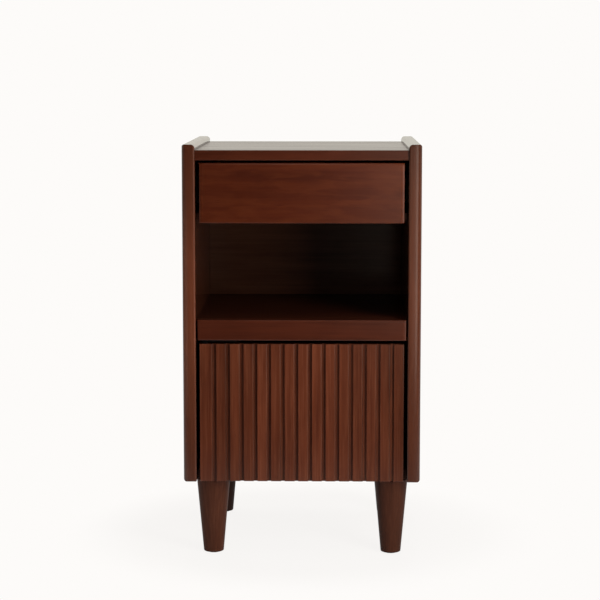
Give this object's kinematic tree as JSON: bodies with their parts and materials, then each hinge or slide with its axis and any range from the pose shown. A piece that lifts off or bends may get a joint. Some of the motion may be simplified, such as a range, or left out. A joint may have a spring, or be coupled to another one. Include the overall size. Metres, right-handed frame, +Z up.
{
  "type": "nightstand",
  "caption": "Narrow nightstand: round-nosed side panels hold an inset top, a drawer, an open shelf and a door faced with upright strips, on tapered round legs.",
  "frame": {"origin": "on the floor, under the middle of the carcase", "axes": "+X to the right as seen from the front, the front faces -Y, +Z up"},
  "size_m": [0.381, 0.381, 0.668],
  "materials": {
    "stained_wood": "dark reddish-brown stain under satin lacquer",
    "drawer_wood": "clear lacquered inside wood",
    "panel_board": "veneered board, stained",
    "zinc_steel": "rolled, zinc plated",
    "dark_steel": "black zinc plated",
    "black_nylon": "moulded",
    "rubber": "matt"
  },
  "bodies": {
    "cabinet": {"side_panel_left": "stained_wood", "side_panel_right": "stained_wood", "top_panel": "stained_wood", "dust_panel": "stained_wood", "shelf_panel": "stained_wood", "shelf_rail": "stained_wood", "bottom_panel": "stained_wood", "back_panel": "panel_board", "leg_front_left": "stained_wood", "leg_front_right": "stained_wood", "leg_rear_left": "stained_wood", "leg_rear_right": "stained_wood", "leg_plate_front_left": "dark_steel", "leg_plate_front_right": "dark_steel", "leg_plate_rear_left": "dark_steel", "leg_plate_rear_right": "dark_steel", "hanger_bolt_front_left": "zinc_steel", "hanger_bolt_front_right": "zinc_steel", "hanger_bolt_rear_left": "zinc_steel", "hanger_bolt_rear_right": "zinc_steel", "glide_front_left": "black_nylon", "glide_front_right": "black_nylon", "glide_rear_left": "black_nylon", "glide_rear_right": "black_nylon", "runner_cabinet_rail_left": "dark_steel", "runner_cabinet_rail_right": "dark_steel", "hinge_plate_upper": "dark_steel", "hinge_plate_lower": "dark_steel", "latch_body": "black_nylon", "door_bumper": "rubber"},
    "drawer": {"drawer_front": "stained_wood", "drawer_inner_front": "drawer_wood", "drawer_side_left": "drawer_wood", "drawer_side_right": "drawer_wood", "drawer_back": "drawer_wood", "drawer_bottom": "panel_board", "runner_drawer_rail_left": "dark_steel", "runner_drawer_rail_right": "dark_steel"},
    "left_middle_member": {"runner_middle_left": "dark_steel"},
    "right_middle_member": {"runner_middle_right": "dark_steel"},
    "door": {"door_panel": "stained_wood", "door_strip_01": "stained_wood", "door_strip_02": "stained_wood", "door_strip_03": "stained_wood", "door_strip_04": "stained_wood", "door_strip_05": "stained_wood", "door_strip_06": "stained_wood", "door_strip_07": "stained_wood", "door_strip_08": "stained_wood", "door_strip_09": "stained_wood", "door_strip_10": "stained_wood", "door_strip_11": "stained_wood", "door_strip_12": "stained_wood", "door_strip_13": "stained_wood", "door_strip_14": "stained_wood", "door_strip_15": "stained_wood", "hinge_bush_upper": "black_nylon", "hinge_bush_lower": "black_nylon", "latch_strike": "zinc_steel"},
    "plunger": {"latch_plunger": "black_nylon"}
  },
  "joints": [
    {"name": "drawer_slide", "type": "slide", "parent": "cabinet", "child": "drawer", "axis": [0, -1, 0], "range_m": [0, 0.28]},
    {"name": "left_middle_slide", "type": "slide", "parent": "cabinet", "child": "left_middle_member", "axis": [0, -1, 0], "range_m": [0, 0.14]},
    {"name": "right_middle_slide", "type": "slide", "parent": "cabinet", "child": "right_middle_member", "axis": [0, -1, 0], "range_m": [0, 0.14]},
    {"name": "door_swing", "type": "hinge", "parent": "cabinet", "child": "door", "pos_m": [-0.156, -0.1765, 0.128], "axis": [0, 0, -1], "range_deg": [0, 95]},
    {"name": "latch_press", "type": "slide", "parent": "cabinet", "child": "plunger", "axis": [0, 1, 0], "range_m": [0, 0.002], "stiffness_N_per_m": 300}
  ],
  "couplings": [
    {"joint": "left_middle_slide", "follows": "drawer_slide", "ratio": 0.5},
    {"joint": "right_middle_slide", "follows": "drawer_slide", "ratio": 0.5}
  ]
}
